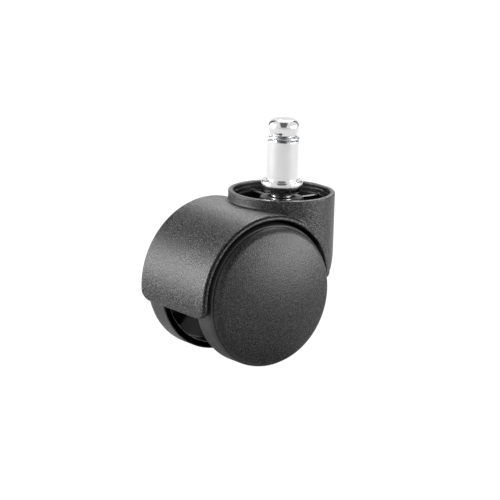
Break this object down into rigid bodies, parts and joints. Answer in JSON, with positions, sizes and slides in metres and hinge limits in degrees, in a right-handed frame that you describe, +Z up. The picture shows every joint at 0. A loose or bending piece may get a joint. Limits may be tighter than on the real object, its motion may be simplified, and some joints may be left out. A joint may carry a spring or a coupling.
{
  "type": "chair caster wheel",
  "caption": "Twin-wheel swivel caster for office chairs: moulded hood over two domed wheels, and a friction-ring stem that plugs into the chair leg.",
  "frame": {"origin": "on the stem's axis, in the plane of the collar's upper face, where the chair leg stands on the stem", "axes": "+Z up along the stem, +X the way the caster rolls with its wheels trailing towards -X, +Y along the axle towards the left wheel"},
  "size_m": [0.0647, 0.0496, 0.0818],
  "materials": {
    "textured_nylon": "black nylon with a fine spark-eroded grain",
    "smooth_nylon": "black nylon, smooth and semi-gloss",
    "acetal": "natural acetal, satin",
    "bright_nickel": "polished nickel plate",
    "spring_steel": "drawn spring steel wire and blued strip",
    "zinc_steel": "turned steel, zinc plated"
  },
  "bodies": {
    "stem": {"stem": "bright_nickel", "grip_ring": "spring_steel", "stem_snap_ring": "spring_steel"},
    "hood": {"hood": "textured_nylon", "stem_sleeve": "zinc_steel", "thrust_disc": "zinc_steel", "axle": "zinc_steel", "axle_clip_left": "spring_steel", "axle_clip_right": "spring_steel", "thrust_washer_left": "acetal", "thrust_washer_right": "acetal"},
    "wheel_left": {"wheel_rim_left": "smooth_nylon", "wheel_cover_left": "textured_nylon", "hub_bush_left": "acetal"},
    "wheel_right": {"wheel_rim_right": "smooth_nylon", "wheel_cover_right": "textured_nylon", "hub_bush_right": "acetal"}
  },
  "joints": [
    {"name": "swivel", "type": "hinge", "parent": "stem", "child": "hood", "pos_m": [0, 0, 0], "axis": [0, 0, 1], "continuous": true},
    {"name": "wheel_left_spin", "type": "hinge", "parent": "hood", "child": "wheel_left", "pos_m": [-0.018, 0, -0.0355], "axis": [0, 1, 0], "continuous": true},
    {"name": "wheel_right_spin", "type": "hinge", "parent": "hood", "child": "wheel_right", "pos_m": [-0.018, 0, -0.0355], "axis": [0, 1, 0], "continuous": true}
  ]
}
